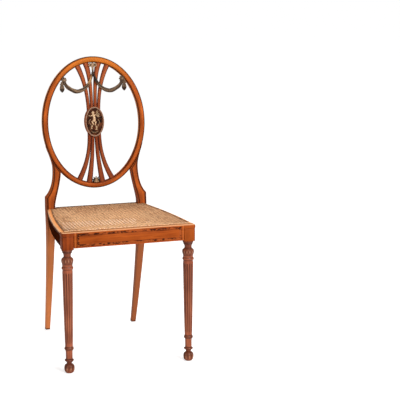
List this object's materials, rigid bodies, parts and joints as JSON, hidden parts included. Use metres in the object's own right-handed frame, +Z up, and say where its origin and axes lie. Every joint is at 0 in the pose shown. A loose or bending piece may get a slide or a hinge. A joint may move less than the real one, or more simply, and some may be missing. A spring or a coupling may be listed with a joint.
{
  "type": "oval back dining chair",
  "caption": "Side chair with an oval open back of curved bars and a medallion, a carved garland, a caned seat, turned and fluted front legs and swept back legs.",
  "frame": {"origin": "on the floor, under the middle of the chair's box", "axes": "+Z up, the chair's front faces -Y, +X to the right as seen from the front"},
  "size_m": [0.424, 0.524, 0.9344],
  "materials": {
    "frame_wood": "polished",
    "leg_wood": "polished",
    "brace_wood": "bare",
    "painted_wood": "painted, satin",
    "medallion_ground": "painted, satin",
    "cane": "matt"
  },
  "bodies": {
    "root": {"front_seat_frame": "frame_wood", "right_seat_frame": "frame_wood", "left_seat_frame": "frame_wood", "back_seat_frame": "frame_wood", "front_seat_rail": "frame_wood", "back_seat_rail": "frame_wood", "right_side_rail": "frame_wood", "left_side_rail": "frame_wood", "right_front_corner_brace": "brace_wood", "left_front_corner_brace": "brace_wood", "right_back_corner_brace": "brace_wood", "left_back_corner_brace": "brace_wood", "right_front_leg": "leg_wood", "left_front_leg": "leg_wood", "right_back_leg": "frame_wood", "left_back_leg": "frame_wood", "hoop_crest": "frame_wood", "hoop_foot": "frame_wood", "right_hoop_side": "frame_wood", "left_hoop_side": "frame_wood", "right_upper_outer_bar": "frame_wood", "left_upper_outer_bar": "frame_wood", "right_upper_inner_bar": "frame_wood", "left_upper_inner_bar": "frame_wood", "right_lower_outer_bar": "frame_wood", "left_lower_outer_bar": "frame_wood", "right_lower_inner_bar": "frame_wood", "left_lower_inner_bar": "frame_wood", "medallion_frame": "frame_wood", "medallion_panel": "medallion_ground", "ribbon_bow": "painted_wood", "right_swag": "painted_wood", "left_swag": "painted_wood", "right_rosette": "painted_wood", "left_rosette": "painted_wood", "right_tassel": "painted_wood", "left_tassel": "painted_wood", "foot_shell": "painted_wood", "cane_seat": "cane", "front_cane_binding": "cane", "back_cane_binding": "cane", "right_side_cane_binding": "cane", "left_side_cane_binding": "cane"}
  },
  "joints": []
}
